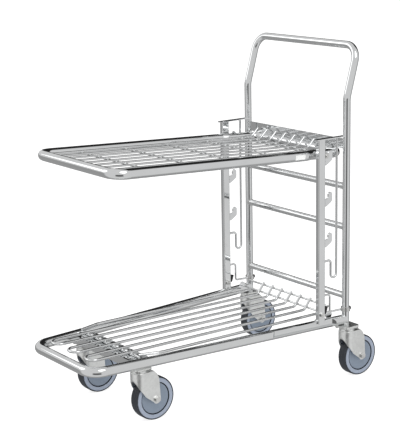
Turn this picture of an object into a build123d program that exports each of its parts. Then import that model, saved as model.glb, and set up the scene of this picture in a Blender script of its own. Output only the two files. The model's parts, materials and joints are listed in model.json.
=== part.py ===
from build123d import *
import math
import os

# Nestable two-deck platform trolley, in millimetres.
# +Z is up, the handle is at +Y and the push direction is -Y. The left side is +X.
# The origin is on the floor at the middle of the trolley's box.

# ---- driving dimensions -------------------------------------------------------------

POST_Y = 380.25           # the handle posts' axis, measured from the middle of the trolley
FLOOR_TO_RAIL = 178.0     # centre height of the base rail

BASE_TUBE_R = 14.5
BASE_WALL = 2.0
BASE_FRONT_Y = POST_Y - 848.5
BASE_FRONT_HALF = 152.0   # half width at the front tube's line
BASE_REAR_HALF = 228.0    # half width at the posts
BASE_CORNER_R = 46.0
DENT_FRONT_Y = POST_Y - 277.0
DENT_REAR_Y = POST_Y - 42.0
DENT_DEPTH = 6.5
DENT_SILL = -4.0          # the pressed flat starts this far from the rail's centre height

POST_X = BASE_REAR_HALF
POST_R = 11.0
POST_WALL = 2.0
POST_FOOT_Z = FLOOR_TO_RAIL - BASE_TUBE_R
HANDLE_BEND_Z = 845.0
HANDLE_TOP_Z = 991.0
HANDLE_LEAN = 16.0        # degrees back from upright
HANDLE_BEND_R = 60.0
HANDLE_CORNER_R = 45.0

BAR_R = 9.5
BAR_WALL = 1.5
BAR_HEIGHTS = {"upper": 583.0, "middle": 461.0, "lower": 250.0}
STOP_PLATE_THICK = 3.0
STOP_PLATE_BOTTOM = 694.7
STOP_PLATE_TOP = 723.6

UPRIGHT_X = 225.0
UPRIGHT_Y = POST_Y - 98.0
UPRIGHT_WIDE = 15.0
UPRIGHT_DEEP = 25.0
UPRIGHT_WALL = 1.5
UPRIGHT_TOP = 732.0
UPRIGHT_BACK = UPRIGHT_Y + UPRIGHT_DEEP / 2
STRIP_THICK = 3.0
STRIP_FRONT_Y = POST_Y - 120.0

HOOK_THICK = 5.0
HOOK_STEP = 122.0
HOOK_NOTCH_TOP = 678.5    # lowest point of the top notch
HOOK_LEVELS = 3
HOOK_NOTCH_R = 8.0
HOOK_TIP_WIDE = 15.0
HOOK_TIP_Y = UPRIGHT_BACK + 2 * HOOK_NOTCH_R + HOOK_TIP_WIDE
HOOK_DROP = 22.0
HOOK_RISE = 19.0
HOOK_HEEL_R = 10.0

GUIDE_R = 3.5
GUIDE_Y = POST_Y - 36.0
GUIDE_BOTTOM = 316.0
GUIDE_LIP_Y = POST_Y - 58.0
GUIDE_LIP_TOP = 370.0

BRACE_R = 3.0
BRACE_TOP = 266.0
BRACE_LEG_Y = POST_Y - 61.0
BRACE_FOOT_Z = 212.0
COLLAR_Z = 210.0
COLLAR_R = 14.0
COLLAR_HALF = 6.0
FOOT_BOLT_Z = 211.0
CLIP_HIGH = 21.0
CLIP_LEAN = 7.5
CLIP_THICK = 5.5
CLIP_WIDE = 11.0

SHELF_PIN_Y = POST_Y - 77.5
SHELF_PIN_Z = 683.8
SHELF_RISE = 2.86         # degrees, the front is higher than the pins
SHELF_TUBE_R = 14.5
SHELF_WALL = 1.5
SHELF_HALF = 199.0
SHELF_NECK_HALF = 191.0
SHELF_FRONT = -705.5      # from the pins to the front tube
SHELF_REAR = 85.0         # from the pins to the rear tube
SHELF_JOG_FRONT = -52.0
SHELF_JOG_REAR = -32.0
SHELF_FRONT_CORNER = 40.0
SHELF_REAR_CORNER = 34.0
SHELF_WIRE_LIFT = 6.0
SHELF_RAMP_START = 30.0
SHELF_RAMP_TIP = (55.0, 31.0)
SHELF_CROSS = (-582.5, -433.5, -284.5, -135.5, -2.0, 24.0)
PIN_R = 5.0
PIN_WASHER_R = 7.5
PIN_END_PLAY = 0.3

WIRE_R = 3.0
DECK_WIRE_R = 4.0
CROSS_WIRE_R = 3.0
WIRE_STEP = 44.0
SHELF_WIRES = 8
DECK_STEP = 44.5
DECK_HAIRPINS = 3

DECK_Z = 196.4            # height of the deck's wires over the pivot
DECK_FALL = 0.5           # degrees, the deck's rear hangs lower than its pivot
DECK_PIVOT_Y = POST_Y - 689.0
DECK_PIVOT_R = 4.0
DECK_PIVOT_Z = DECK_Z - DECK_WIRE_R - DECK_PIVOT_R
DECK_FRONT_Y = POST_Y - 824.0
DECK_RAMP_START = POST_Y - 62.0
DECK_RAMP_TIP = (POST_Y - 36.0, 229.6)
DECK_LOWER_ALONG = 12.0   # distances up the ramp to the two rear cross wires
DECK_UPPER_ALONG = 36.0
DECK_OUTER_X = 165.0
DECK_OUTER_END_X = 146.0  # the outer wires end on the pivot rod, inside the rails
DECK_OUTER_JOG = 60.0
DECK_PIVOT_REACH = 151.0
DECK_UPPER_REACH = 188.0
DISC_R = 11.5
DISC_THICK = 4.5
DISC_X = 206.0

MEMBER_DEEP = 60.0
MEMBER_BOTTOM = 160.5
MEMBER_TOP = 184.0
MEMBER_WALL = 2.5

WHEEL_R = 62.5
WHEEL_WIDE = 32.0
TREAD_INNER = 57.5
GROOVE_OUTER = 46.5
GROOVE_INNER = 44.5
HUB_BOSS_R = 15.0
HUB_HALF = 19.0
BEARING_R = 10.0
AXLE_R = 5.0
FIT = 0.05                # radial clearance of every running fit
TRAIL = 42.0              # the axle is this far behind the swivel axis
CROWN_TOP = 147.0
CROWN_THICK = 3.0
CROWN_BEND_R = 2.5
NOSE_R = 25.0
CREASE_Y = 18.0
LEG_REAR = 62.0
LEG_TIP_R = 13.0
LEG_THICK = 3.0
PLATE_BOTTOM = 156.5
PLATE_TOP = MEMBER_BOTTOM
PLATE_SIDE = 54.0
KING_R = 6.0
CASTER_BOLT = 20.5
BOLT_R = 3.0
BOLT_HEAD = 4.0
BOLT_GRIP = 3.0           # how far the caster bolts reach above their plates
RACE_HEIGHT = 7.5
RACE_R = 23.5
RACE_GAP = 0.4
AXLE_GRIP = 23.7          # from the wheel's middle to the underside of the bolt's head
PLATE_BOSS_R = 16.5
CASTERS = {
    "front_left": (141.0, DECK_PIVOT_Y),
    "front_right": (-141.0, DECK_PIVOT_Y),
    "rear_left": (236.5, POST_Y - 2.0),
    "rear_right": (-236.5, POST_Y - 2.0),
}
SIDES = {"left": 1, "right": -1}

parts = {}


# ---- helpers ------------------------------------------------------------------------

def rod(points, radii, radius, wall=0.0):
    """A round rod or tube that follows straight runs joined by arcs."""
    if radii:
        path = FilletPolyline(*points, radius=list(radii))
    else:
        path = Line(*points)
    start = Plane(origin=path @ 0, z_dir=path % 0)
    section = Circle(radius)
    if wall:
        section = section - Circle(radius - wall)
    return sweep(start * section, path=path)


def straight(start, end, radius, wall=0.0):
    return rod((start, end), (), radius, wall)


def drum(center, axis, radius, length, bore=0.0):
    """A cylinder centred on a point, along a world axis, with an optional bore."""
    turn = {"x": (0, 90, 0), "y": (90, 0, 0), "z": (0, 0, 0)}[axis]
    shape = Cylinder(radius, length)
    if bore:
        shape = shape - Cylinder(bore, length * 1.2)
    return Pos(*center) * Rot(*turn) * shape


def block(low, high):
    size = [b - a for a, b in zip(low, high)]
    middle = [(a + b) / 2 for a, b in zip(low, high)]
    return Pos(*middle) * Box(*size)


def hexagon(center, axis, across_flats, length):
    turn = {"x": (0, 90, 0), "y": (90, 0, 0), "z": (0, 0, 0)}[axis]
    prism = extrude(RegularPolygon(across_flats / 2, 6, major_radius=False), length / 2, both=True)
    return Pos(*center) * Rot(*turn) * prism


def mirrored(shape):
    return mirror(shape, about=Plane.YZ)


def on_side(shape, side):
    """The shape as built for the left side, or its mirror image for the right."""
    return shape if side == "left" else mirrored(shape)


def group(solids):
    return Compound(children=list(solids))


def rail_x(y):
    """Distance of the rail's centreline from the middle at a given length."""
    share = (y - BASE_FRONT_Y) / (POST_Y - BASE_FRONT_Y)
    return BASE_FRONT_HALF + (BASE_REAR_HALF - BASE_FRONT_HALF) * share


# ---- base ---------------------------------------------------------------------------

def base_half_path():
    return ((0, BASE_FRONT_Y, FLOOR_TO_RAIL), (BASE_FRONT_HALF, BASE_FRONT_Y, FLOOR_TO_RAIL),
            (BASE_REAR_HALF, POST_Y, FLOOR_TO_RAIL))


def base_half(radius, wall=0.0):
    return rod(base_half_path(), (BASE_CORNER_R,), radius, wall)


def rail_pocket(depth, sill, overrun):
    """The space that the pressed flat takes out of the rail's outer side."""
    outline = []
    face = BASE_TUBE_R - depth
    for y, out in ((DENT_FRONT_Y - overrun, BASE_TUBE_R + 2), (DENT_FRONT_Y + 14 - overrun, face),
                   (DENT_REAR_Y - 14 + overrun, face), (DENT_REAR_Y + overrun, BASE_TUBE_R + 2)):
        outline.append((rail_x(y) + out, y))
    sketch = make_face(Polyline(*outline, close=True))
    low = FLOOR_TO_RAIL + sill
    return Pos(0, 0, low) * extrude(sketch, BASE_TUBE_R * 2)


def post_plug(radius=POST_R):
    return drum((POST_X, POST_Y, 400), "z", radius, 800)


def make_base_tube():
    shell = base_half(BASE_TUBE_R, BASE_WALL)
    core = base_half(BASE_TUBE_R)
    pocket = rail_pocket(DENT_DEPTH, DENT_SILL, 0)
    wall = core & (rail_pocket(DENT_DEPTH + BASE_WALL, DENT_SILL - BASE_WALL, BASE_WALL) - pocket)
    half = (shell - pocket) + wall - post_plug()
    parts["base_tube"] = half + mirrored(half)


def solid_rails():
    half = base_half(BASE_TUBE_R)
    return half + mirrored(half)


def make_front_member(rails):
    reach = BASE_FRONT_HALF + 20
    y0 = DECK_PIVOT_Y - MEMBER_DEEP / 2
    y1 = DECK_PIVOT_Y + MEMBER_DEEP / 2
    tube = block((-reach, y0, MEMBER_BOTTOM), (reach, y1, MEMBER_TOP))
    tube = tube - block((-reach, y0 + MEMBER_WALL, MEMBER_BOTTOM + MEMBER_WALL),
                        (reach, y1 - MEMBER_WALL, MEMBER_TOP - MEMBER_WALL))
    trim = block((-rail_x(y0) - 1, y0, MEMBER_BOTTOM), (rail_x(y0) + 1, y1, MEMBER_TOP))
    tube = (tube & trim) - rails
    pieces = sorted(tube.solids(), key=lambda s: s.volume)
    member = pieces[-1]
    for x in (CASTERS["front_left"][0], CASTERS["front_right"][0]):
        member = member - caster_bolt_holes(x, DECK_PIVOT_Y)
    parts["front_cross_member"] = member


def caster_bolt_holes(x, y):
    holes = None
    for dx in (-CASTER_BOLT, CASTER_BOLT):
        for dy in (-CASTER_BOLT, CASTER_BOLT):
            hole = drum((x + dx, y + dy, PLATE_TOP + 1), "z", BOLT_R, 14)
            holes = hole if holes is None else holes + hole
    return holes


def make_mount_plates():
    x, y = CASTERS["rear_left"]
    plate = block((POST_X - 22, POST_Y - 31, MEMBER_BOTTOM), (x + 27, POST_Y + 25, POST_FOOT_Z))
    plate = fillet(plate.edges().filter_by(Axis.Z), 8) - caster_bolt_holes(x, y)
    parts["rear_mount_plates"] = group(on_side(plate, side) for side in SIDES)


# ---- handle, posts and bars ---------------------------------------------------------

def make_handle():
    lean = (HANDLE_TOP_Z - HANDLE_BEND_Z) * math.tan(math.radians(HANDLE_LEAN))
    points = ((POST_X, POST_Y, POST_FOOT_Z), (POST_X, POST_Y, HANDLE_BEND_Z),
              (POST_X, POST_Y + lean, HANDLE_TOP_Z), (0, POST_Y + lean, HANDLE_TOP_Z))
    half = rod(points, (HANDLE_BEND_R, HANDLE_CORNER_R), POST_R, POST_WALL)
    parts["handle_frame"] = half + mirrored(half)


def make_cross_bars():
    plugs = post_plug() + mirrored(post_plug())
    for name, height in BAR_HEIGHTS.items():
        bar = straight((-POST_X, POST_Y, height), (POST_X, POST_Y, height), BAR_R, BAR_WALL) - plugs
        parts["cross_bar_" + name] = max(bar.solids(), key=lambda s: s.volume)
    half = STOP_PLATE_THICK / 2
    plate = block((-POST_X, POST_Y - half, STOP_PLATE_BOTTOM),
                  (POST_X, POST_Y + half, STOP_PLATE_TOP)) - plugs
    parts["rear_stop_plate"] = max(plate.solids(), key=lambda s: s.volume)


def make_uprights(rails):
    box = block((UPRIGHT_X - UPRIGHT_WIDE / 2, UPRIGHT_Y - UPRIGHT_DEEP / 2, FLOOR_TO_RAIL),
                (UPRIGHT_X + UPRIGHT_WIDE / 2, UPRIGHT_BACK, UPRIGHT_TOP))
    box = fillet(box.edges().filter_by(Axis.Z), 2.5)
    inner = block((UPRIGHT_X - UPRIGHT_WIDE / 2 + UPRIGHT_WALL,
                   UPRIGHT_Y - UPRIGHT_DEEP / 2 + UPRIGHT_WALL, FLOOR_TO_RAIL),
                  (UPRIGHT_X + UPRIGHT_WIDE / 2 - UPRIGHT_WALL,
                   UPRIGHT_BACK - UPRIGHT_WALL, UPRIGHT_TOP))
    tube = box - inner - rails
    tube = max(tube.solids(), key=lambda s: s.volume)
    tube = tube - drum((UPRIGHT_X, UPRIGHT_Y, FOOT_BOLT_Z), "x", 4.0, 40)
    strip = block((UPRIGHT_X - UPRIGHT_WIDE / 2, STRIP_FRONT_Y, UPRIGHT_TOP),
                  (UPRIGHT_X + UPRIGHT_WIDE / 2, POST_Y, UPRIGHT_TOP + STRIP_THICK))
    front = [e for e in strip.edges().filter_by(Axis.Z) if e.center().Y < STRIP_FRONT_Y + 1]
    strip = fillet(front, 5) - post_plug()
    strip = max(strip.solids(), key=lambda s: s.volume)
    for side in SIDES:
        parts["upright_" + side] = on_side(tube, side)
    parts["top_strips"] = group(on_side(strip, side) for side in SIDES)


# ---- hooks, guide wires and feet ----------------------------------------------------

def hook_plate(notch_z):
    """One open hook: a plate whose round notch faces up, between upright and tip."""
    tip_y = HOOK_TIP_Y
    inner = tip_y - HOOK_TIP_WIDE
    outline = Polyline((UPRIGHT_BACK, notch_z - HOOK_DROP),
                       (UPRIGHT_BACK + HOOK_NOTCH_R, notch_z - HOOK_DROP),
                       (tip_y, notch_z - HOOK_NOTCH_R),
                       (tip_y, notch_z + HOOK_RISE), (inner, notch_z + HOOK_RISE),
                       (inner, notch_z + HOOK_NOTCH_R), (UPRIGHT_BACK, notch_z + HOOK_NOTCH_R),
                       close=True)
    face = make_face(outline)
    middle = (UPRIGHT_BACK + inner) / 2
    face = face - Pos(middle, notch_z + HOOK_NOTCH_R) * Circle(HOOK_NOTCH_R)
    tips = [v for v in face.vertices() if v.Y > notch_z + HOOK_RISE - 0.1]
    face = fillet(tips, HOOK_TIP_WIDE * 0.45)
    heel = [v for v in face.vertices() if v.X > UPRIGHT_BACK + 1 and v.Y < notch_z - 2]
    face = fillet(heel, HOOK_HEEL_R)
    turned = Plane(origin=(UPRIGHT_X, 0, 0), x_dir=(0, 1, 0), z_dir=(1, 0, 0)) * face
    return extrude(turned, HOOK_THICK / 2, both=True)


def make_hooks():
    plates = [hook_plate(HOOK_NOTCH_TOP - HOOK_STEP * level) for level in range(HOOK_LEVELS)]
    for side in SIDES:
        parts["shelf_hooks_" + side] = group(on_side(p, side) for p in plates)


def make_guides():
    x = UPRIGHT_X
    turn = (GUIDE_Y - GUIDE_LIP_Y) / 2 - 0.1
    points = ((x, GUIDE_Y, UPRIGHT_TOP), (x, GUIDE_Y, GUIDE_BOTTOM),
              (x, GUIDE_LIP_Y, GUIDE_BOTTOM), (x, GUIDE_LIP_Y, GUIDE_LIP_TOP),
              (x, UPRIGHT_BACK, GUIDE_LIP_TOP))
    guide = rod(points, (turn, turn, 8), GUIDE_R)
    points = ((x, UPRIGHT_BACK, BRACE_TOP), (x, BRACE_LEG_Y, BRACE_TOP),
              (x, BRACE_LEG_Y, BRACE_FOOT_Z), (POST_X - 4, POST_Y - COLLAR_R + 1, COLLAR_Z))
    collar = drum((POST_X, POST_Y, COLLAR_Z), "z", COLLAR_R, 2 * COLLAR_HALF)
    brace = rod(points, (8, 7), BRACE_R) - collar
    brace = max(brace.solids(), key=lambda s: s.volume)
    for side in SIDES:
        parts["guide_wire_" + side] = on_side(guide, side)
    parts["brace_wires"] = group(on_side(brace, side) for side in SIDES)


def foot_clip():
    """Moulded tongue that leans out from the back of the upright's foot."""
    low = FOOT_BOLT_Z - 1
    high = low + CLIP_HIGH
    lean = CLIP_LEAN
    side = make_face(Polyline((UPRIGHT_BACK, low), (UPRIGHT_BACK + CLIP_THICK, low),
                              (UPRIGHT_BACK + lean + CLIP_THICK, high),
                              (UPRIGHT_BACK + lean, high), (UPRIGHT_BACK, low + CLIP_THICK),
                              close=True))
    turned = Plane(origin=(UPRIGHT_X, 0, 0), x_dir=(0, 1, 0), z_dir=(1, 0, 0)) * side
    return extrude(turned, CLIP_WIDE / 2, both=True)


def foot_bolt():
    face = UPRIGHT_X + UPRIGHT_WIDE / 2
    back = UPRIGHT_X - UPRIGHT_WIDE / 2
    bolt = drum((UPRIGHT_X + 1, UPRIGHT_Y, FOOT_BOLT_Z), "x", 3.9, UPRIGHT_WIDE + 10)
    head = hexagon((face + 2.5, UPRIGHT_Y, FOOT_BOLT_Z), "x", 13, 5)
    washer = drum((back - 0.5, UPRIGHT_Y, FOOT_BOLT_Z), "x", 8, 1)
    nut = hexagon((back - 3.5, UPRIGHT_Y, FOOT_BOLT_Z), "x", 13, 5)
    trimmed = bolt & block((back - 6, 0, 0), (face + 6, 500, 500))
    return trimmed + head + washer + nut


def make_feet():
    collar = drum((POST_X, POST_Y, COLLAR_Z), "z", COLLAR_R, 2 * COLLAR_HALF, POST_R)
    cap = drum((POST_X, POST_Y + COLLAR_R + 2.5, COLLAR_Z), "y", 5.5, 5)
    cap = fillet(cap.edges().group_by(Axis.Y)[-1], 2)
    for name, shape in (("foot_clips", foot_clip()), ("foot_bolts", foot_bolt()),
                        ("post_collars", collar), ("post_caps", cap)):
        parts[name] = group(on_side(shape, side) for side in SIDES)


# ---- shelf --------------------------------------------------------------------------

def shelf_place(shape):
    """Move a shape from the shelf's own flat frame, centred on its pins, into place."""
    return Pos(0, SHELF_PIN_Y, SHELF_PIN_Z) * Rot(-SHELF_RISE, 0, 0) * shape


def shelf_half(radius, wall=0.0):
    points = ((0, SHELF_FRONT, 0), (SHELF_HALF, SHELF_FRONT, 0), (SHELF_HALF, SHELF_JOG_FRONT, 0),
              (SHELF_NECK_HALF, SHELF_JOG_REAR, 0), (SHELF_NECK_HALF, SHELF_REAR, 0),
              (0, SHELF_REAR, 0))
    bends = (SHELF_FRONT_CORNER, 16, 16, SHELF_REAR_CORNER)
    return rod(points, bends, radius, wall)


def make_shelf():
    half = shelf_half(SHELF_TUBE_R, SHELF_WALL)
    ring = half + mirrored(half)
    pins = group(drum((s * (UPRIGHT_X - 8), 0, 0), "x", PIN_R, 34) for s in SIDES.values())
    holes = drum((0, 0, 0), "x", PIN_R, 2 * (UPRIGHT_X + 9))
    solid = shelf_half(SHELF_TUBE_R)
    solid = solid + mirrored(solid)
    parts["shelf_frame"] = shelf_place(ring - holes)
    parts["shelf_pins"] = shelf_place(pins)
    washer_x = UPRIGHT_X + HOOK_THICK / 2 + 2.0
    spacer_in = SHELF_NECK_HALF + SHELF_TUBE_R
    spacer_out = UPRIGHT_X - HOOK_THICK / 2 - PIN_END_PLAY
    spacer_x = (spacer_in + spacer_out) / 2
    washers = []
    for s in SIDES.values():
        washers.append(drum((s * washer_x, 0, 0), "x", PIN_WASHER_R, 2.5, PIN_R))
        washers.append(drum((s * spacer_x, 0, 0), "x", PIN_WASHER_R, spacer_out - spacer_in, PIN_R))
    parts["pin_washers"] = shelf_place(group(washers))
    make_shelf_wires(solid)


def make_shelf_wires(ring):
    longs = []
    lift = SHELF_WIRE_LIFT
    tip_y, tip_z = SHELF_RAMP_TIP
    for i in range(SHELF_WIRES):
        x = WIRE_STEP * (i - (SHELF_WIRES - 1) / 2)
        points = ((x, SHELF_FRONT, lift), (x, SHELF_RAMP_START, lift), (x, tip_y, tip_z))
        wire = rod(points, (14,), WIRE_R) - ring
        longs.append(max(wire.solids(), key=lambda s: s.volume))
    parts["shelf_long_wires"] = shelf_place(group(longs))
    crosses = []
    z = lift - WIRE_R - CROSS_WIRE_R
    for y in SHELF_CROSS:
        wire = straight((-SHELF_HALF, y, z), (SHELF_HALF, y, z), CROSS_WIRE_R) - ring
        middle = [s for s in wire.solids() if s.is_inside(Vector(0, y, z))]
        crosses.append(middle[0])
    parts["shelf_cross_wires"] = shelf_place(group(crosses))


# ---- lower deck ---------------------------------------------------------------------

def deck_place(shape):
    """Tip a shape from the deck's own level frame about the pivot rod, into place."""
    tip = Pos(0, DECK_PIVOT_Y, DECK_PIVOT_Z) * Rot(-DECK_FALL, 0, 0)
    return tip * Pos(0, -DECK_PIVOT_Y, -DECK_PIVOT_Z) * shape


def behind_ramp(along):
    """Centre of a cross wire laid against the back of the ramp, so far up from its foot."""
    foot = Vector(0, DECK_RAMP_START, DECK_Z)
    slope = (Vector(0, *DECK_RAMP_TIP) - foot).normalized()
    back = Vector(0, slope.Z, -slope.Y)
    spot = foot + slope * along + back * (DECK_WIRE_R + CROSS_WIRE_R + 0.02)
    return spot.Y, spot.Z


def hairpin(middle):
    """One wire that runs forward, turns back on itself and climbs both rear ramps."""
    half = DECK_STEP / 2
    left = middle - half
    right = middle + half
    tip_y, tip_z = DECK_RAMP_TIP
    points = ((left, tip_y, tip_z), (left, DECK_RAMP_START, DECK_Z), (left, DECK_FRONT_Y, DECK_Z),
              (right, DECK_FRONT_Y, DECK_Z), (right, DECK_RAMP_START, DECK_Z),
              (right, tip_y, tip_z))
    turn = half - 0.1
    return rod(points, (14, turn, turn, 14), DECK_WIRE_R)


def make_deck():
    middles = [2 * DECK_STEP * (i - (DECK_HAIRPINS - 1) / 2) for i in range(DECK_HAIRPINS)]
    parts["deck_hairpins"] = deck_place(group(hairpin(middle) for middle in middles))
    lower_at = behind_ramp(DECK_LOWER_ALONG)
    upper_at = behind_ramp(DECK_UPPER_ALONG)
    lower = deck_place(straight((-DISC_X, *lower_at), (DISC_X, *lower_at), CROSS_WIRE_R))
    points = ((DECK_OUTER_END_X, DECK_PIVOT_Y - DECK_PIVOT_R, DECK_Z),
              (DECK_OUTER_X, DECK_PIVOT_Y + DECK_OUTER_JOG, DECK_Z),
              (DECK_OUTER_X, lower_at[0], DECK_Z))
    outer = deck_place(rod(points, (60,), DECK_WIRE_R)) - lower
    parts["deck_outer_wires"] = group(on_side(outer, side) for side in SIDES)
    parts["deck_lower_wire"] = lower
    parts["deck_upper_wire"] = deck_place(straight((-DECK_UPPER_REACH, *upper_at),
                                                   (DECK_UPPER_REACH, *upper_at), CROSS_WIRE_R))
    parts["deck_pivot_rod"] = straight((-DECK_PIVOT_REACH, DECK_PIVOT_Y, DECK_PIVOT_Z),
                                       (DECK_PIVOT_REACH, DECK_PIVOT_Y, DECK_PIVOT_Z),
                                       DECK_PIVOT_R)
    disc = deck_place(drum((DISC_X, *lower_at), "x", DISC_R, DISC_THICK)) - lower
    parts["deck_guide_discs"] = group(on_side(disc, side) for side in SIDES)


def make_saddles():
    saddles = []
    for x in (-2 * DECK_STEP, -DECK_STEP, DECK_STEP, 2 * DECK_STEP):
        body = block((x - 5, DECK_PIVOT_Y - 8, MEMBER_TOP), (x + 5, DECK_PIVOT_Y + 8, DECK_Z + 0.5))
        top = [e for e in body.edges().filter_by(Axis.X) if e.center().Z > DECK_Z]
        body = fillet(top, 6)
        bore = drum((x, DECK_PIVOT_Y, DECK_PIVOT_Z), "x", DECK_PIVOT_R + FIT, 20)
        saddles.append(body - bore)
    parts["deck_pivot_saddles"] = group(saddles)


# ---- casters ------------------------------------------------------------------------

def fork_plan(inset):
    """The fork seen from above: a round nose about the swivel axis and two creased sides."""
    r = NOSE_R - inset
    crease = NOSE_R - 0.6 - inset
    back = 22.2 - inset
    nose = CenterArc((0, 0), r, 180, 180)
    sides = Polyline((r, 0), (crease, CREASE_Y), (back, LEG_REAR), (-back, LEG_REAR),
                     (-crease, CREASE_Y), (-r, 0))
    return make_face(nose + sides)


def fork_side():
    """The fork seen from the left, swivel axis at 0: legs that narrow down to the axle."""
    outline = Polyline((-NOSE_R - 1, CROWN_TOP), (-NOSE_R - 1, 130), (-12, 100), (4, 77),
                       (TRAIL - 13, WHEEL_R - 5), (TRAIL, WHEEL_R), (TRAIL + 13, WHEEL_R),
                       (TRAIL + 9, 122), (TRAIL + 2, 137), (TRAIL - 8, CROWN_TOP), close=True)
    side = make_face(outline) + Pos(TRAIL, WHEEL_R) * Circle(LEG_TIP_R)
    side = side - Pos(TRAIL, WHEEL_R) * Circle(AXLE_R + FIT)
    turned = Plane(origin=(0, 0, 0), x_dir=(0, 1, 0), z_dir=(1, 0, 0)) * side
    return extrude(turned, 40, both=True)


def make_fork():
    low = CROWN_TOP - CROWN_THICK
    shell = extrude(fork_plan(0), CROWN_TOP) - extrude(fork_plan(LEG_THICK), low)
    fork = shell & fork_side()
    fork = fork - block((-40, LEG_REAR - LEG_THICK - 1, 0), (40, 100, low))
    along = [e for e in fork.edges().filter_by_position(Axis.Z, CROWN_TOP, CROWN_TOP)
             if e.center().Y < TRAIL - 9 and abs(e.center().X) + abs(e.center().Y) > 15]
    fork = fillet(along, CROWN_BEND_R)
    return fork - drum((0, 0, low), "z", KING_R + FIT, 20)


def make_wheel_parts():
    """Tread, core and bearing sleeve about the axle, along X."""
    half = WHEEL_WIDE / 2
    crown = WHEEL_R - 2.5
    tread = make_face(Polyline((-half, TREAD_INNER), (-half, crown - 1), (-half + 2.5, WHEEL_R - 0.8),
                               (-half + 6, WHEEL_R), (half - 6, WHEEL_R),
                               (half - 2.5, WHEEL_R - 0.8), (half, crown - 1), (half, TREAD_INNER),
                               close=True))
    core = make_face(Polyline((-HUB_HALF, BEARING_R), (-HUB_HALF, HUB_BOSS_R - 1),
                              (-HUB_HALF + 1, HUB_BOSS_R), (-half + 3, HUB_BOSS_R + 2),
                              (-half + 2, GROOVE_INNER - 1), (-half + 2.6, GROOVE_INNER),
                              (-half + 5, GROOVE_INNER + 0.3), (-half + 5, GROOVE_OUTER - 0.3),
                              (-half + 1, GROOVE_OUTER), (-half + 0.4, GROOVE_OUTER + 1),
                              (-half, GROOVE_OUTER + 5), (-half, TREAD_INNER),
                              (0, TREAD_INNER), (0, BEARING_R), close=True))
    core = core + mirror(core, about=Plane.YZ)
    spin = {}
    for name, face in (("tread", tread), ("core", core)):
        spin[name] = revolve(face, Axis.X)
    spin["bearing"] = drum((0, 0, 0), "x", BEARING_R, 2 * HUB_HALF + 1, AXLE_R + FIT)
    return spin


def make_axle():
    reach = AXLE_GRIP
    bolt = drum((0, 0, 0), "x", AXLE_R, 2 * reach + 6)
    head = hexagon((reach + 3, 0, 0), "x", 15, 6)
    nut = hexagon((-reach - 3, 0, 0), "x", 15, 6)
    return bolt + head + nut


def make_casters():
    fork = make_fork()
    race = drum((0, 0, CROWN_TOP + RACE_HEIGHT / 2), "z", RACE_R, RACE_HEIGHT, KING_R + FIT)
    race = fillet(race.edges().group_by(Axis.Z)[-1].filter_by(GeomType.CIRCLE).sort_by(
        SortBy.RADIUS)[-1], 2)
    wheel = make_wheel_parts()
    axle = make_axle()
    at_axle = Pos(0, TRAIL, WHEEL_R)
    plates, pins, bolts = [], [], []
    half = PLATE_SIDE / 2
    for name, (x, y) in CASTERS.items():
        place = Pos(x, y, 0)
        parts["fork_" + name] = place * fork
        parts["swivel_race_" + name] = place * race
        parts["axle_bolt_" + name] = place * at_axle * axle
        parts["wheel_core_" + name] = place * at_axle * wheel["core"]
        parts["tread_" + name] = place * at_axle * wheel["tread"]
        parts["wheel_bearing_" + name] = place * at_axle * wheel["bearing"]
        plate = block((-half, -half, PLATE_BOTTOM), (half, half, PLATE_TOP))
        plate = fillet(plate.edges().filter_by(Axis.Z), 8)
        boss_low = CROWN_TOP + RACE_HEIGHT + RACE_GAP
        plate = plate + drum((0, 0, (PLATE_BOTTOM + boss_low) / 2), "z", PLATE_BOSS_R,
                             PLATE_BOTTOM - boss_low)
        plate = plate - drum((0, 0, PLATE_BOTTOM), "z", KING_R, 20)
        plates.append(place * plate - caster_bolt_holes(x, y))
        low = CROWN_TOP - CROWN_THICK - RACE_GAP
        pin = drum((0, 0, (low + PLATE_TOP) / 2), "z", KING_R, PLATE_TOP - low)
        pins.append(place * (pin + hexagon((0, 0, low - 4), "z", 17, 8)))
        for dx in (-CASTER_BOLT, CASTER_BOLT):
            for dy in (-CASTER_BOLT, CASTER_BOLT):
                top = PLATE_TOP + BOLT_GRIP
                shank = drum((x + dx, y + dy, (PLATE_BOTTOM + top) / 2), "z", BOLT_R,
                             top - PLATE_BOTTOM)
                head = hexagon((x + dx, y + dy, PLATE_BOTTOM - BOLT_HEAD / 2), "z", 9, BOLT_HEAD)
                bolts.append(shank + head)
    parts["caster_plates"] = group(plates)
    parts["king_pins"] = group(pins)
    parts["caster_bolts"] = group(bolts)


# ---- build and write ----------------------------------------------------------------

def main():
    rails = solid_rails()
    make_base_tube()
    make_front_member(rails)
    make_mount_plates()
    make_handle()
    make_cross_bars()
    make_uprights(rails)
    make_hooks()
    make_guides()
    make_feet()
    make_shelf()
    make_deck()
    make_saddles()
    make_casters()
    os.makedirs("parts", exist_ok=True)
    for name, shape in parts.items():
        export_step(shape, "parts/" + name + ".step")


main()
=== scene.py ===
import json
import math

import bmesh
import bpy
from mathutils import Matrix, Vector


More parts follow.
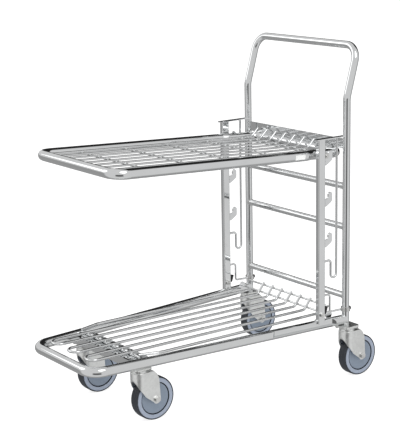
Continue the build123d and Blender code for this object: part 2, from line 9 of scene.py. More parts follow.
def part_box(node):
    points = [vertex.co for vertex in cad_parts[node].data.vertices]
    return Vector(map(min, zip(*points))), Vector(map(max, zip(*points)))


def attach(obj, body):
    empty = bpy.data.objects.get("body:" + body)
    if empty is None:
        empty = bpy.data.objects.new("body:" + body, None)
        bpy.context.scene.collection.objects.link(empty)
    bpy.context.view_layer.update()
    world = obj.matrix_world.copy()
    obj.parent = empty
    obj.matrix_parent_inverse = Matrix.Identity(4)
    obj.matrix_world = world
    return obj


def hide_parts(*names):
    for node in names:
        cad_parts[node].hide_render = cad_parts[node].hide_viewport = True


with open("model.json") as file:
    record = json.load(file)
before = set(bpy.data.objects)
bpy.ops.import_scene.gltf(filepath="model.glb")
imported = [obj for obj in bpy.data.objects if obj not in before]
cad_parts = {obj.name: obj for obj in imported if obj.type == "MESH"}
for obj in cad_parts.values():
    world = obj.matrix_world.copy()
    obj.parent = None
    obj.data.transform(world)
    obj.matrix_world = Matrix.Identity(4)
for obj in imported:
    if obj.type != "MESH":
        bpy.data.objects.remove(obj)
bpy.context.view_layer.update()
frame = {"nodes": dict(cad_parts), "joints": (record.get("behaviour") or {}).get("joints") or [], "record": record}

bl_info = {
    "name": "Nesting platform trolley",
    "version": (1, 0, 0),
    "blender": (4, 5, 0),
    "location": "View3D > Sidebar > Trolley",
    "description": "Finishes, wheels, welds and fasteners of a nesting platform trolley",
    "category": "Add Mesh",
}

CORNERS = ("front_left", "front_right", "rear_left", "rear_right")
SIDES = {"left": 1.0, "right": -1.0}
MM = 0.001

POST_RADIUS = 11 * MM
COLLAR_RADIUS = 14 * MM
RAIL_RADIUS = 14.5 * MM
SHELF_RISE = math.radians(2.86)     # the shelf's front is higher than its pins
GUIDE_LIP_TOP = 370 * MM            # top of the guide wire's parking trough
LABEL_REACH = (-104 * MM, -68 * MM)     # along the rail from the shelf's pins
NECK_SCREWS = ((17 * MM, 3.5 * MM), (17 * MM, -5 * MM), (34 * MM, -2 * MM))
HOOK_WELDS = (3 * MM, 12 * MM, 22 * MM)     # up from each hook's lower edge


# ---- sizes and colours that a user may change --------------------------------------------

class TrolleyStage(bpy.types.PropertyGroup):
    """The camera, the floor and the light."""
    lens: bpy.props.FloatProperty(
        name="Lens", description="Focal length of the camera in millimetres",
        default=120.01, min=20.0)
    place: bpy.props.FloatVectorProperty(
        name="Camera place", description="Where the camera stands", subtype="TRANSLATION",
        unit="LENGTH", size=3, default=(3.0402, -2.2357, 1.4008))
    heading: bpy.props.FloatProperty(
        name="Heading", description="Turn of the camera about the upright axis",
        subtype="ANGLE", default=math.radians(53.495))
    tilt: bpy.props.FloatProperty(
        name="Tilt", description="How far below level the camera looks", subtype="ANGLE",
        default=math.radians(13.196))
    roll: bpy.props.FloatProperty(
        name="Roll", description="Turn of the camera about its own line of sight",
        subtype="ANGLE", default=math.radians(-1.084))
    floor_size: bpy.props.FloatProperty(
        name="Floor size", description="Side of the floor", default=120.0, unit="LENGTH")
    floor_glow: bpy.props.FloatProperty(
        name="Floor glow", description="Light that the floor adds to what it reflects",
        default=0.80, min=0.0)
    room_light: bpy.props.FloatProperty(
        name="Room light", description="Strength of the studio's white walls",
        default=0.92, min=0.0)
    flag_light: bpy.props.FloatProperty(
        name="Flag light", description="Strength of the studio's dark side",
        default=0.03, min=0.0)
    backdrop_glow: bpy.props.FloatProperty(
        name="Backdrop glow", description="Light of the white dome behind the trolley",
        default=1.1, min=0.0)


class TrolleyFinish(bpy.types.PropertyGroup):
    """Colours of the finishes."""
    plated: bpy.props.FloatVectorProperty(
        name="Plated tube", description="Colour of the bright plated tube and wire",
        subtype="COLOR", size=3, min=0.0, max=1.0, default=(0.77, 0.78, 0.785))
    zinc: bpy.props.FloatVectorProperty(
        name="Zinc", description="Colour of the pressed zinc plated steel",
        subtype="COLOR", size=3, min=0.0, max=1.0, default=(0.80, 0.81, 0.80))
    bolt: bpy.props.FloatVectorProperty(
        name="Fasteners", description="Colour of the bolts and pins",
        subtype="COLOR", size=3, min=0.0, max=1.0, default=(0.70, 0.70, 0.69))
    core: bpy.props.FloatVectorProperty(
        name="Wheel core", description="Colour of the moulded wheel core",
        subtype="COLOR", size=3, min=0.0, max=1.0, default=(0.20, 0.245, 0.31))
    rim: bpy.props.FloatVectorProperty(
        name="Wheel rim", description="Colour of the ring outside the groove",
        subtype="COLOR", size=3, min=0.0, max=1.0, default=(0.31, 0.355, 0.44))
    tread: bpy.props.FloatVectorProperty(
        name="Tread", description="Colour of the rubber tread",
        subtype="COLOR", size=3, min=0.0, max=1.0, default=(0.018, 0.022, 0.030))
    plastic: bpy.props.FloatVectorProperty(
        name="Plastic", description="Colour of the moulded clips and caps",
        subtype="COLOR", size=3, min=0.0, max=1.0, default=(0.012, 0.012, 0.013))


class TrolleyWheel(bpy.types.PropertyGroup):
    """Detail sizes of the wheels."""
    segments: bpy.props.IntProperty(
        name="Segments", description="Faces around a wheel", default=120, min=24)
    groove: bpy.props.FloatProperty(
        name="Groove", description="Radius of the groove between core and rim",
        default=45.5 * MM, unit="LENGTH")
    rim_edge: bpy.props.FloatProperty(
        name="Rim edge", description="Radius where the rim meets the tread",
        default=58.5 * MM, unit="LENGTH")


class TrolleyWeld(bpy.types.PropertyGroup):
    """Sizes of the weld beads."""
    bead: bpy.props.FloatProperty(
        name="Bead", description="Radius of a weld bead where two wires cross",
        default=2.3 * MM, unit="LENGTH")
    seam: bpy.props.FloatProperty(
        name="Seam", description="Half thickness of the weld seam around a bar's end",
        default=1.5 * MM, unit="LENGTH")


# ---- shader maths --------------------------------------------------------------------------

class Amount:
    """A number socket of a material, usable in sums and products."""

    def __init__(self, shade, socket):
        self.shade = shade
        self.socket = socket

    def _with(self, operation, first, second):
        made = self.shade.node("ShaderNodeMath", {"operation": operation}, {0: first, 1: second})
        return Amount(self.shade, made.outputs[0])

    def __add__(self, other):
        return self._with("ADD", self, other)

    def __radd__(self, other):
        return self._with("ADD", other, self)

    def __sub__(self, other):
        return self._with("SUBTRACT", self, other)

    def __rsub__(self, other):
        return self._with("SUBTRACT", other, self)

    def __mul__(self, other):
        return self._with("MULTIPLY", self, other)

    def __rmul__(self, other):
        return self._with("MULTIPLY", other, self)

    def step(self, low, high):
        """0 below low and 1 above high, straight in between."""
        made = self.shade.node("ShaderNodeMapRange", {"clamp": True},
                               {0: self, 1: low, 2: high, 3: 0.0, 4: 1.0})
        return Amount(self.shade, made.outputs[0])


class Shade:
    """The nodes of one material, or of the room's light."""

    def __init__(self, owner, coordinates="Object"):
        self.material = owner
        owner.use_nodes = True
        self.tree = owner.node_tree
        self.tree.nodes.clear()
        self.place = self.node("ShaderNodeTexCoord").outputs[coordinates]

    @classmethod
    def paint(cls, name):
        return cls(bpy.data.materials.new(name))

    def node(self, kind, settings=None, values=None):
        made = self.tree.nodes.new(kind)
        for key, value in (settings or {}).items():
            setattr(made, key, value)
        for key, value in (values or {}).items():
            if isinstance(value, Amount):
                value = value.socket
            if isinstance(value, bpy.types.NodeSocket):
                self.tree.links.new(value, made.inputs[key])
            else:
                made.inputs[key].default_value = value
        return made

    def noise(self, scale, detail=2.0, stretch=None):
        place = self.place
        if stretch:
            place = self.node("ShaderNodeMapping", None, {0: place, 3: stretch}).outputs[0]
        made = self.node("ShaderNodeTexNoise", None,
                         {"Vector": place, "Scale": scale, "Detail": detail})
        return Amount(self, made.outputs[0])

    def blend(self, factor, first, second):
        made = self.node("ShaderNodeMix", {"data_type": "RGBA"}, {0: factor})
        for key, colour in ((6, first), (7, second)):
            if isinstance(colour, bpy.types.NodeSocket):
                self.tree.links.new(colour, made.inputs[key])
            else:
                made.inputs[key].default_value = (*colour[:3], 1.0)
        return made.outputs[2]

    def axis(self, letter):
        parts = self.node("ShaderNodeSeparateXYZ", None, {0: self.place})
        return Amount(self, parts.outputs["XYZ".index(letter)])

    def bump(self, height, distance, strength=1.0):
        return self.node("ShaderNodeBump", None,
                         {"Height": height, "Distance": distance, "Strength": strength}).outputs[0]

    def surface(self, values):
        body = self.node("ShaderNodeBsdfPrincipled", None, values)
        self.node("ShaderNodeOutputMaterial", None, {0: body.outputs[0]})
        return self.material


def scaled(colour, factor):
    return tuple(min(1.0, c * factor) for c in colour[:3])


def plated_material(name, colour, roughness, streak):
    """Bright plating over drawn tube or wire: faint clouding, fine die lines and rubbed spots."""
    shade = Shade.paint(name)
    cloud = shade.noise(7.0, 3.0)
    grain = shade.noise(240.0, 2.0)
    rubbed = shade.noise(38.0, 4.0).step(0.62, 0.78)
    tint = shade.blend(cloud.step(0.35, 0.7), scaled(colour, 0.96), scaled(colour, 1.03))
    tint = shade.blend(rubbed * 0.35, tint, scaled(colour, 0.86))
    rough = roughness + (grain - 0.5) * streak + rubbed * 0.08
    normal = shade.bump(grain * 0.6 + cloud, 0.00004, 0.35)
    return shade.surface({"Base Color": tint, "Metallic": 1.0, "Roughness": rough,
                          "Normal": normal})


def zinc_material(name, colour):
    """Zinc plated sheet: broad spangle, rolled grain and duller patches."""
    shade = Shade.paint(name)
    spangle = shade.node("ShaderNodeTexVoronoi", {"feature": "F1"},
                         {"Vector": shade.place, "Scale": 130.0})
    flake = Amount(shade, shade.node("ShaderNodeSeparateColor", None,
                                     {0: spangle.outputs["Color"]}).outputs[0])
    grain = shade.noise(60.0, 3.0, (1.0, 1.0, 6.0))
    dull = shade.noise(22.0, 3.0).step(0.5, 0.75)
    tint = shade.blend(flake, scaled(colour, 0.95), scaled(colour, 1.04))
    tint = shade.blend(dull * 0.4, tint, scaled(colour, 0.88))
    rough = 0.3 + flake * 0.06 + dull * 0.1
    normal = shade.bump(grain + flake * 0.4, 0.00006, 0.4)
    return shade.surface({"Base Color": tint, "Metallic": 0.95, "Roughness": rough,
                          "Normal": normal})


def fastener_material(name, colour):
    """Turned and plated bolts: fine turning marks and a darker film in places."""
    shade = Shade.paint(name)
    grain = shade.noise(420.0, 2.0)
    film = shade.noise(55.0, 3.0).step(0.45, 0.75)
    tint = shade.blend(film * 0.6, scaled(colour, 1.03), scaled(colour, 0.8))
    normal = shade.bump(grain, 0.00003, 0.4)
    return shade.surface({"Base Color": tint, "Metallic": 1.0,
                          "Roughness": 0.26 + film * 0.12, "Normal": normal})


def moulded_material(name, colour, roughness, coat):
    """Moulded nylon: a faint flow mottle and a fine skin."""
    shade = Shade.paint(name)
    flow = shade.noise(30.0, 3.0)
    skin = shade.noise(900.0, 1.0)
    scuff = shade.noise(75.0, 5.0).step(0.6, 0.8)
    tint = shade.blend(flow, scaled(colour, 0.95), scaled(colour, 1.06))
    tint = shade.blend(scuff * 0.25, tint, scaled(colour, 1.2))
    normal = shade.bump(skin + flow * 0.5, 0.00005, 0.3)
    return shade.surface({"Base Color": tint, "Roughness": roughness + scuff * 0.12,
                          "Coat Weight": coat, "Normal": normal})


def rubber_material(name, colour):
    """Dark tread rubber, dusty where it has rolled."""
    shade = Shade.paint(name)
    pebble = shade.noise(700.0, 2.0)
    dust = shade.noise(45.0, 5.0).step(0.52, 0.8)
    tint = shade.blend(dust * 0.3, colour, scaled(colour, 2.2))
    normal = shade.bump(pebble + dust * 0.5, 0.0001, 0.4)
    return shade.surface({"Base Color": tint, "Roughness": 0.52 + dust * 0.2, "Normal": normal})


def floor_material(name, glow):
    """A pale floor with almost no pattern."""
    shade = Shade.paint(name)
    shift = shade.noise(0.7, 2.0)
    tint = shade.blend(shift, (0.60, 0.60, 0.60), (0.62, 0.62, 0.62))
    return shade.surface({"Base Color": tint, "Roughness": 0.8,
                          "Specular IOR Level": 0.1, "Emission Color": (1.0, 1.0, 1.0, 1.0),
                          "Emission Strength": glow})


def finish(name):
    """The material of a finish, made the first time it is asked for."""
    found = bpy.data.materials.get(name)
    if found:
        return found
    colours = bpy.context.scene.trolley_finish
    makers = {
        "plated_tube": lambda: plated_material(name, colours.plated, 0.06, 0.03),
        "plated_wire": lambda: plated_material(name, colours.plated, 0.08, 0.04),
        "zinc_sheet": lambda: zinc_material(name, colours.zinc),
        "bolt_steel": lambda: fastener_material(name, colours.bolt),
        "core_nylon": lambda: moulded_material(name, colours.core, 0.40, 0.08),
        "rim_nylon": lambda: moulded_material(name, colours.rim, 0.40, 0.08),
        "tread_rubber": lambda: rubber_material(name, colours.tread),
        "clip_plastic": lambda: moulded_material(name, colours.plastic, 0.42, 0.0),
        "weld_steel": lambda: fastener_material(name, scaled(colours.bolt, 0.8)),
        "dark_washer": lambda: fastener_material(name, scaled(colours.bolt, 0.25)),
        "groove_shadow": lambda: moulded_material(name, scaled(colours.tread, 0.8), 0.6, 0.0),
        "label_paper": lambda: moulded_material(name, (0.86, 0.87, 0.86), 0.5, 0.1),
    }
    return makers[name]()


# ---- mesh helpers --------------------------------------------------------------------------

def middle_of(node):
    low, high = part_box(node)
    return (low + high) / 2


def size_of(node):
    low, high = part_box(node)
    return high - low


def show(name, data):
    """Link a new object that holds the data to the scene."""
    made = bpy.data.objects.new(name, data)
    bpy.context.scene.collection.objects.link(made)
    return made


def mesh_from(work, name, sharp_angle=None):
    """Turn a bmesh's faces outwards and make it a mesh, smooth up to an angle if one is given."""
    bmesh.ops.recalc_face_normals(work, faces=work.faces)
    mesh = bpy.data.meshes.new(name)
    work.to_mesh(mesh)
    work.free()
    if sharp_angle is not None:
        mesh.shade_smooth()
        mesh.set_sharp_from_angle(angle=math.radians(sharp_angle))
    return mesh


def hoop(work, here, after):
    """Fill the strip between two rings that have the same number of corners."""
    count = len(here)
    for j in range(count):
        k = (j + 1) % count
        work.faces.new((here[j], here[k], after[k], after[j]))


def new_piece(name, mesh, body, materials):
    """Put a finished mesh into the scene as a piece that rides on a body."""
    piece = show(name, mesh)
    mesh.materials.clear()
    for material in materials:
        mesh.materials.append(material)
    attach(piece, body)
    return piece


def lathe(mesh_name, profile, centre, segments):
    """Turn a closed outline of (radius, distance along X) about the X axis at a centre."""
    work = bmesh.new()
    rings = []
    for i in range(segments):
        angle = 2 * math.pi * i / segments
        rings.append([work.verts.new((centre.x + along, centre.y + radius * math.cos(angle),
                                      centre.z + radius * math.sin(angle)))
                      for radius, along in profile])
    for i in range(segments):
        hoop(work, rings[i], rings[(i + 1) % segments])
    return mesh_from(work, mesh_name, 28)


def both_sides(*runs):
    """A closed outline from runs of millimetre steps, each from its own radius and width,
    followed by the same steps mirrored."""
    side = [(radius + out * MM, width + along * MM)
            for radius, width, steps in runs for out, along in steps]
    return side + [(radius, -width) for radius, width in reversed(side)]


def joint(name):
    return next(j for j in frame["joints"] if j["name"] == name)


def loose_parts(node):
    """The (lowest corner, highest corner) of each separate solid of a CAD node."""
    work = bmesh.new()
    work.from_mesh(frame["nodes"][node].data)
    bmesh.ops.remove_doubles(work, verts=work.verts, dist=0.01 * MM)
    boxes, seen = [], set()
    for start in work.verts:
        if start in seen:
            continue
        stack, island = [start], []
        seen.add(start)
        while stack:
            vert = stack.pop()
            island.append(vert.co.copy())
            for edge in vert.link_edges:
                other = edge.other_vert(vert)
                if other not in seen:
                    seen.add(other)
                    stack.append(other)
        boxes.append((Vector([min(c[i] for c in island) for i in range(3)]),
                      Vector([max(c[i] for c in island) for i in range(3)])))
    work.free()
    return boxes


def socket_of(tree, name):
    """The identifier of a tree's named input."""
    return next(item.identifier for item in tree.interface.items_tree
                if item.item_type == "SOCKET" and item.in_out == "INPUT" and item.name == name)


def grown(name, places, tree, inputs):
    """The plain mesh that a tree makes on a row of points."""
    points = bpy.data.meshes.new(name + "_places")
    points.from_pydata(places, [], [])
    holder = show(name + "_places", points)
    modifier = holder.modifiers.new("rows", "NODES")
    modifier.node_group = tree
    for label, value in inputs.items():
        modifier[socket_of(tree, label)] = value
    bpy.context.view_layer.update()
    graph = bpy.context.evaluated_depsgraph_get()
    mesh = bpy.data.meshes.new_from_object(holder.evaluated_get(graph), depsgraph=graph)
    mesh.name = name
    bpy.data.objects.remove(holder)
    return mesh


def new_tree(name, inputs):
    tree = bpy.data.node_groups.new(name, "GeometryNodeTree")
    tree.interface.new_socket("Geometry", in_out="INPUT", socket_type="NodeSocketGeometry")
    for label, default in inputs:
        socket = tree.interface.new_socket(label, in_out="INPUT", socket_type="NodeSocketFloat")
        socket.default_value = default
    tree.interface.new_socket("Geometry", in_out="OUTPUT", socket_type="NodeSocketGeometry")
    return tree


def finish_tree(tree, geometry, material):
    """End a tree with Realize Instances, smooth shading and Set Material."""
    real = tree.nodes.new("GeometryNodeRealizeInstances")
    smooth = tree.nodes.new("GeometryNodeSetShadeSmooth")
    paint = tree.nodes.new("GeometryNodeSetMaterial")
    paint.inputs["Material"].default_value = material
    end = tree.nodes.new("NodeGroupOutput")
    tree.links.new(geometry, real.inputs[0])
    tree.links.new(real.outputs[0], smooth.inputs[0])
    tree.links.new(smooth.outputs[0], paint.inputs[0])
    tree.links.new(paint.outputs[0], end.inputs[0])
    return tree


def bead_tree(material):
    """A small uneven bead of weld on each point."""
    tree = new_tree("bead_rows", (("Radius", 2 * MM),))
    start = tree.nodes.new("NodeGroupInput")
    ball = tree.nodes.new("GeometryNodeMeshIcoSphere")
    ball.inputs["Subdivisions"].default_value = 2
    tree.links.new(start.outputs["Radius"], ball.inputs["Radius"])
    spread = tree.nodes.new("FunctionNodeRandomValue")
    spread.data_type = "FLOAT_VECTOR"
    spread.inputs[0].default_value = (0.85, 0.9, 0.75)
    spread.inputs[1].default_value = (1.2, 1.35, 1.0)
    spread.inputs["Seed"].default_value = 7
    place = tree.nodes.new("GeometryNodeInstanceOnPoints")
    tree.links.new(start.outputs["Geometry"], place.inputs["Points"])
    tree.links.new(ball.outputs["Mesh"], place.inputs["Instance"])
    tree.links.new(spread.outputs[0], place.inputs["Scale"])
    return finish_tree(tree, place.outputs[0], material)


def disc_tree(name, material, sides):
    """A low round disc on each point, its axis upright."""
    tree = new_tree(name, (("Radius", 6 * MM), ("Height", 1 * MM)))
    start = tree.nodes.new("NodeGroupInput")
    disc = tree.nodes.new("GeometryNodeMeshCone")
    disc.inputs["Vertices"].default_value = sides
    top = tree.nodes.new("ShaderNodeMath")
    top.operation = "MULTIPLY"
    top.inputs[1].default_value = 0.86
    tree.links.new(start.outputs["Radius"], disc.inputs["Radius Bottom"])
    tree.links.new(start.outputs["Radius"], top.inputs[0])
    tree.links.new(top.outputs[0], disc.inputs["Radius Top"])
    tree.links.new(start.outputs["Height"], disc.inputs["Depth"])
    place = tree.nodes.new("GeometryNodeInstanceOnPoints")
    tree.links.new(start.outputs["Geometry"], place.inputs["Points"])
    tree.links.new(disc.outputs["Mesh"], place.inputs["Instance"])
    return finish_tree(tree, place.outputs[0], material)


def ring_seam(work, sign, post_x, post_r, post_y, height, bar_r, thick):
    """A rippled weld seam where a round bar's end meets a round post."""
    steps, sides, ripple = 40, 8, 0.16
    reach = bar_r + 0.3 * MM
    line = []
    for i in range(steps):
        angle = 2 * math.pi * i / steps
        y = reach * math.cos(angle)
        z = reach * math.sin(angle)
        x = post_x - math.sqrt(post_r ** 2 - y ** 2)
        line.append(Vector((sign * x, post_y + y, height + z)))
    rings = []
    for i in range(steps):
        ahead = (line[(i + 1) % steps] - line[i - 1]).normalized()
        out = (line[i] - Vector((line[i].x, post_y, height))).normalized()
        side = ahead.cross(out).normalized()
        out = side.cross(ahead).normalized()
        size = thick * (1.0 + ripple * math.sin(i * math.pi / 2))
        rings.append([work.verts.new(line[i] + out * size * math.cos(2 * math.pi * k / sides)
                                     + side * size * math.sin(2 * math.pi * k / sides))
                      for k in range(sides)])
    for i in range(steps):
        hoop(work, rings[i], rings[(i + 1) % steps])


def pan_head(work, centre, sign, radius, height):
    """A domed screw head that faces along X."""
    sides = 20
    # each ring's radius, and how far up the head it is, as a share of the height
    profile = ((radius, -0.4), (radius, 0.25), (radius * 0.86, 0.72), (radius * 0.5, 0.97))
    rings = []
    for r, up in profile:
        rings.append([work.verts.new(centre + Vector((
            sign * up * height, r * math.cos(2 * math.pi * k / sides),
            r * math.sin(2 * math.pi * k / sides)))) for k in range(sides)])
    for here, after in zip(rings, rings[1:]):
        hoop(work, here, after)
    work.faces.new(rings[0])
    work.faces.new(rings[-1])


# ---- operators -----------------------------------------------------------------------------

class TROLLEY_OT_stage(bpy.types.Operator):
    """Make the floor, the white studio with its dark flag, the lamps and the camera"""
    bl_idname = "trolley.stage"
    bl_label = "Floor, light and camera"

    def execute(self, context):
        sizes = context.scene.trolley_stage
        self.floor(sizes)
        self.backdrop(sizes)
        self.room(context.scene, sizes)
        self.lamps()
        self.camera(context.scene, sizes)
        context.scene.view_settings.view_transform = "Standard"
        return {"FINISHED"}

    def floor(self, sizes):
        half = sizes.floor_size / 2
        mesh = bpy.data.meshes.new("studio_floor")
        corners = [(-half, -half, 0), (half, -half, 0), (half, half, 0), (-half, half, 0)]
        mesh.from_pydata(corners, [], [(0, 1, 2, 3)])
        mesh.materials.append(floor_material("floor_paint", sizes.floor_glow))
        floor = show("studio_floor", mesh)
        floor.visible_glossy = False

    def backdrop(self, sizes):
        """A white dome around the floor, which lights nothing and isn't reflected."""
        radius, around, up = sizes.floor_size * 0.48, 48, 10
        lowest, sweep = -2.0, 88.2      # degrees, from below the floor to nearly overhead
        points = []
        for j in range(up):
            rise = math.radians(lowest + sweep * j / (up - 1))
            for i in range(around):
                turn = 2 * math.pi * i / around
                points.append((radius * math.cos(rise) * math.cos(turn),
                               radius * math.cos(rise) * math.sin(turn),
                               radius * math.sin(rise)))
        faces = [(j * around + i, (j + 1) * around + i, (j + 1) * around + (i + 1) % around,
                  j * around + (i + 1) % around) for j in range(up - 1) for i in range(around)]
        faces.append(tuple((up - 1) * around + i for i in range(around)))
        mesh = bpy.data.meshes.new("studio_backdrop")
        mesh.from_pydata(points, [], faces)
        mesh.materials.append(floor_material("backdrop_paint", sizes.backdrop_glow))
        dome = show("studio_backdrop", mesh)
        for way in ("glossy", "diffuse", "shadow", "transmission"):
            setattr(dome, "visible_" + way, False)

    def room(self, scene, sizes):
        """White walls, a dark flag over the far side, and a greyer floor on that side."""
        scene.world = bpy.data.worlds.new("studio_room")
        shade = Shade(scene.world, "Generated")
        x, y, z = (shade.axis(letter) for letter in "XYZ")
        toward = x * 0.804 - y * 0.595      # towards the camera, level
        across = x * 0.595 + y * 0.804
        above = z.step(-0.005, 0.01)
        below = z.step(0.005, -0.01)
        far = toward.step(0.1, -0.15)
        flag = above * y.step(0.42, 0.47) * x.step(0.22, 0.12)
        stand = below * toward.step(0.7, 0.8) * (across * across).step(0.17, 0.09)
        seam = far * (z * z).step(0.0006, 0.0002)
        light = 1.0 - flag * (1.0 - sizes.flag_light)
        light = light * (1.0 - below * far * 0.5) * (1.0 - stand * 0.8) * (1.0 - seam * 0.6)
        lit = shade.node("ShaderNodeBackground", None, {1: light * sizes.room_light})
        shade.node("ShaderNodeOutputWorld", None, {0: lit.outputs[0]})

    def lamps(self):
        """Two soft lamps, aimed below the middle of the trolley."""
        target = Vector((0, 0, 0.4))
        spots = (("key_lamp", (2.6, -0.6, 3.4), 2.2, 30.0),
                 ("fill_lamp", (-2.8, -2.6, 2.8), 2.6, 18.0))
        for name, place, width, power in spots:
            disc = bpy.data.lights.new(name, "AREA")
            disc.shape = "DISK"
            disc.size = width
            disc.energy = power
            disc.specular_factor = 0.25
            lamp = show(name, disc)
            lamp.location = place
            aim = target - lamp.location
            lamp.rotation_euler = aim.to_track_quat("-Z", "Y").to_euler()

    def camera(self, scene, sizes):
        optics = bpy.data.cameras.new("studio_camera")
        optics.sensor_fit = "HORIZONTAL"
        optics.sensor_width = 36.0
        optics.lens = sizes.lens
        optics.clip_end = 200.0
        camera = show("studio_camera", optics)
        turn = (Matrix.Rotation(sizes.heading, 4, "Z")
                @ Matrix.Rotation(math.pi / 2 - sizes.tilt, 4, "X")
                @ Matrix.Rotation(sizes.roll, 4, "Z"))
        camera.matrix_world = Matrix.Translation(sizes.place) @ turn
        scene.camera = camera


class TROLLEY_OT_finishes(bpy.types.Operator):
    """Give each CAD node its finish"""
    bl_idname = "trolley.finishes"
    bl_label = "Finishes of the steelwork"

    WIRES = ("brace_wires", "deck_hairpins", "deck_lower_wire", "deck_outer_wires",
             "deck_upper_wire", "deck_pivot_rod", "guide_wire_left", "guide_wire_right",
             "shelf_cross_wires", "shelf_long_wires")

    def execute(self, context):
        by_slot = {"bright_steel": "plated_tube", "zinc": "zinc_sheet", "fasteners": "bolt_steel",
                   "wheel_core": "core_nylon", "tread": "tread_rubber",
                   "black_plastic": "clip_plastic"}
        for row in frame["record"]["subparts"]:
            name = row["node"]
            kind = "plated_wire" if name in self.WIRES else by_slot[row["material_slot"]]
            mesh = frame["nodes"][name].data
            mesh.materials.clear()
            mesh.materials.append(finish(kind))
        return {"FINISHED"}


class TROLLEY_OT_wheels(bpy.types.Operator):
    """Turn the four wheels: dished core, groove, rim and rounded rubber tread"""
    bl_idname = "trolley.wheels"
    bl_label = "Wheels"

    def execute(self, context):
        sizes = context.scene.trolley_wheel
        for corner in CORNERS:
            self.wheel(corner, sizes)
        return {"FINISHED"}

    def wheel(self, corner, sizes):
        core_node, tread_node = "wheel_core_" + corner, "tread_" + corner
        centre, tread_size = middle_of(tread_node), size_of(tread_node)
        outer, half = tread_size.z / 2, tread_size.x / 2
        hub = size_of(core_node).x / 2
        bore = size_of("wheel_bearing_" + corner).z / 2
        groove, edge = sizes.groove, sizes.rim_edge
        profile = both_sides(
            (bore, hub, ((0, 0), (3.6, 0), (4.8, -0.9))),
            (bore, half, ((5.6, -2.2), (7.5, -3.2), (12, -3.6))),
            (groove, half, ((-12, -3.4), (-4, -2.7), (-1.6, -2.6), (-1.1, -6.5), (1.1, -6.5),
                            (1.5, -1.2), (2.6, -0.4))),
            (edge, half, ((-4, -0.1), (-1.2, -0.5), (0, -1.4))))
        mesh = lathe("wheel_face_" + corner, profile, centre, sizes.segments)
        piece = new_piece("wheel_face_" + corner, mesh, "wheel_" + corner,
                          [finish("core_nylon"), finish("rim_nylon"), finish("groove_shadow")])
        for face in mesh.polygons:
            middle = face.center - centre
            radius = math.hypot(middle.y, middle.z)
            if abs(radius - groove) < 1.3 * MM:
                face.material_index = 2
            elif radius > groove:
                face.material_index = 1
        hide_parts(core_node)
        profile = both_sides(
            (edge, half, ((0, -1.6), (0.5, -0.7), (1.6, -0.2))),
            (outer, half, ((-1.5, -0.5), (-0.6, -1.6), (-0.15, -3.6), (0, -6))),
            (outer, 0, ((0, 5.6), (-0.5, 5.2), (-0.5, 4.8), (0, 4.4))))
        mesh = lathe("tyre_" + corner, profile, centre, sizes.segments)
        piece = new_piece("tyre_" + corner, mesh, "wheel_" + corner, [finish("tread_rubber")])
        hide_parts(tread_node)


class TROLLEY_OT_welds(bpy.types.Operator):
    """Lay a weld bead wherever two wires cross, and a seam around the end of each bar"""
    bl_idname = "trolley.welds"
    bl_label = "Welds"

    def execute(self, context):
        sizes = context.scene.trolley_weld
        tree = bead_tree(finish("weld_steel"))
        self.beads("shelf_beads", self.shelf_crossings(), "shelf", tree, sizes.bead)
        self.beads("deck_beads", self.deck_crossings(), "deck", tree, sizes.bead * 1.15)
        self.beads("frame_beads", self.frame_spots(), "frame", tree, sizes.bead * 1.1)
        self.seams(sizes.seam)
        return {"FINISHED"}

    def beads(self, name, places, body, tree, radius):
        new_piece(name, grown(name, places, tree, {"Radius": radius}), body,
                  [finish("weld_steel")])

    def shelf_crossings(self):
        along = loose_parts("shelf_long_wires")
        wire = (along[0][1].x - along[0][0].x) / 2
        places = []
        for low, high in loose_parts("shelf_cross_wires"):
            middle = (low + high) / 2
            radius = (high.z - low.z) / 2
            for run_low, run_high in along:
                for turn in (-0.9, 0.9):
                    places.append(Vector(((run_low.x + run_high.x) / 2 + turn * wire, middle.y,
                                          middle.z + radius * 0.9)))
            for end in (high.x, low.x):
                places.append(Vector((end, middle.y, middle.z + radius * 0.5)))
        return places

    def deck_crossings(self):
        rod = middle_of("deck_pivot_rod")
        radius = size_of("deck_pivot_rod").z / 2
        cross_wires = [(middle_of(node), size_of(node).z / 2)
                       for node in ("deck_lower_wire", "deck_upper_wire")]
        places = []
        for low, high in loose_parts("deck_hairpins"):
            for x in (low.x + radius, high.x - radius):
                for turn in (-1, 1):
                    beside = x + turn * radius
                    places.append(Vector((beside, rod.y, rod.z + radius)))
                    for middle, thick in cross_wires:
                        places.append(Vector((beside, middle.y - thick * 0.8,
                                              middle.z + thick * 0.5)))
        return places

    def frame_spots(self):
        """Tack welds: hooks, guide wires and uprights."""
        hook_edge, guide_edge = 2.8 * MM, 3 * MM     # from the upright's middle to each side
        foot_height = 13.5 * MM         # from the upright's lower end to the top of the rail
        places = []
        for side, sign in SIDES.items():
            low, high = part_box("upright_" + side)
            guide_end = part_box("guide_wire_" + side)[1]
            middle = (low.x + high.x) / 2
            for hook_low, _ in loose_parts("shelf_hooks_" + side):
                for up in HOOK_WELDS:
                    for turn in (-1, 1):
                        places.append(Vector((middle + turn * hook_edge, high.y,
                                              hook_low.z + up)))
            for turn in (-1, 1):
                x = middle + turn * guide_edge
                places.append(Vector((x, guide_end.y - 3.5 * MM, guide_end.z - 0.5 * MM)))
                places.append(Vector((x, high.y, GUIDE_LIP_TOP)))
            for y in (low.y, (low.y + high.y) / 2, high.y):
                places.append(Vector((low.x if sign > 0 else high.x, y, low.z + foot_height)))
        return places

    def seams(self, thick):
        work = bmesh.new()
        post_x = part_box("post_collars")[1].x - COLLAR_RADIUS
        post_y = middle_of("post_collars").y
        for bar in ("cross_bar_upper", "cross_bar_middle", "cross_bar_lower"):
            for sign in SIDES.values():
                ring_seam(work, sign, post_x, POST_RADIUS, post_y, middle_of(bar).z,
                          size_of(bar).z / 2, thick)
        new_piece("bar_seams", mesh_from(work, "bar_seams", 180), "frame",
                  [finish("weld_steel")])


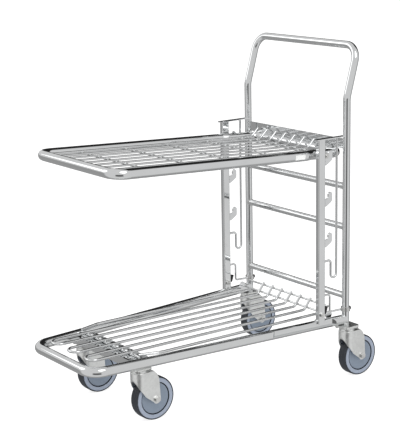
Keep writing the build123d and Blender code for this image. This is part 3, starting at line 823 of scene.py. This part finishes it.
class TROLLEY_OT_fasteners(bpy.types.Operator):
    """Set the plates' washers, the screws in the shelf's necks and a blank label on its rail"""
    bl_idname = "trolley.fasteners"
    bl_label = "Washers, screws and blank label"

    def execute(self, context):
        self.plate_washers()
        self.neck_screws()
        self.label()
        return {"FINISHED"}

    def plate_washers(self):
        """Dished washers between the caster bolts' heads and their plates."""
        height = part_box("caster_plates")[1].z - 4.6 * MM    # just under the plates
        places = [Vector(((low.x + high.x) / 2, (low.y + high.y) / 2, height))
                  for low, high in loose_parts("caster_bolts")]
        tree = disc_tree("washer_rows", finish("dark_washer"), 12)
        mesh = grown("plate_washers", places, tree, {"Radius": 6.2 * MM, "Height": 1.1 * MM})
        new_piece("plate_washers", mesh, "frame", [finish("dark_washer")])

    def neck_screws(self):
        """Pan-head screws in each neck of the shelf, just behind the uprights."""
        pin = middle_of("shelf_pins")
        washer_end = min(max(abs(low.x), abs(high.x)) for low, high in loose_parts("pin_washers"))
        reach = washer_end - 16.4 * MM      # the neck's outer face
        work = bmesh.new()
        for sign in SIDES.values():
            for along, up in NECK_SCREWS:
                fall = along * math.tan(SHELF_RISE)
                centre = Vector((sign * reach, pin.y + along, pin.z + up - fall))
                pan_head(work, centre, sign, 3.4 * MM, 1.9 * MM)
        new_piece("neck_screws", mesh_from(work, "neck_screws", 40), "shelf",
                  [finish("bolt_steel")])

    def label(self):
        """A blank sticker wrapped on the left rail of the shelf."""
        pivot = Vector(joint("shelf_fold")["pos_m"])
        rail_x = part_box("shelf_frame")[1].x - RAIL_RADIUS
        half_wrap, strips = 28, 8       # degrees each way, and faces around
        work = bmesh.new()
        rows = []
        for i in range(strips + 1):
            angle = math.radians(half_wrap * (2 * i / strips - 1))
            row = []
            for along in LABEL_REACH:
                for lift in (0.05 * MM, 0.25 * MM):
                    radius = RAIL_RADIUS + lift
                    up = radius * math.sin(angle)
                    row.append(work.verts.new((
                        rail_x + radius * math.cos(angle),
                        pivot.y + along * math.cos(SHELF_RISE) + up * math.sin(SHELF_RISE),
                        pivot.z - along * math.sin(SHELF_RISE) + up * math.cos(SHELF_RISE))))
            rows.append([row[0], row[1], row[3], row[2]])
        for here, after in zip(rows, rows[1:]):
            hoop(work, here, after)
        for end in (rows[0], rows[-1]):
            work.faces.new(end)
        new_piece("blank_label", mesh_from(work, "blank_label"), "shelf",
                  [finish("label_paper")])


class TROLLEY_PT_panel(bpy.types.Panel):
    """The trolley's pieces, sizes and colours"""
    bl_idname = "TROLLEY_PT_panel"
    bl_label = "Nesting trolley"
    bl_space_type = "VIEW_3D"
    bl_region_type = "UI"
    bl_category = "Trolley"

    def draw(self, context):
        column = self.layout.column()
        for operator in OPERATORS:
            column.operator(operator.bl_idname)
        for name, group in GROUPS:
            column.separator()
            for setting in group.__annotations__:
                column.prop(getattr(context.scene, name), setting)


OPERATORS = (TROLLEY_OT_stage, TROLLEY_OT_finishes, TROLLEY_OT_wheels, TROLLEY_OT_welds,
             TROLLEY_OT_fasteners)
GROUPS = (("trolley_stage", TrolleyStage), ("trolley_finish", TrolleyFinish),
          ("trolley_wheel", TrolleyWheel), ("trolley_weld", TrolleyWeld))


def register():
    for name, group in GROUPS:
        bpy.utils.register_class(group)
        setattr(bpy.types.Scene, name, bpy.props.PointerProperty(type=group))
    for operator in OPERATORS:
        bpy.utils.register_class(operator)
    bpy.utils.register_class(TROLLEY_PT_panel)


def unregister():
    bpy.utils.unregister_class(TROLLEY_PT_panel)
    for operator in reversed(OPERATORS):
        bpy.utils.unregister_class(operator)
    for name, group in reversed(GROUPS):
        delattr(bpy.types.Scene, name)
        bpy.utils.unregister_class(group)


def main():
    register()
    for operator in OPERATORS:
        family, call = operator.bl_idname.split(".")
        getattr(getattr(bpy.ops, family), call)()


if __name__ == "__main__":
    main()
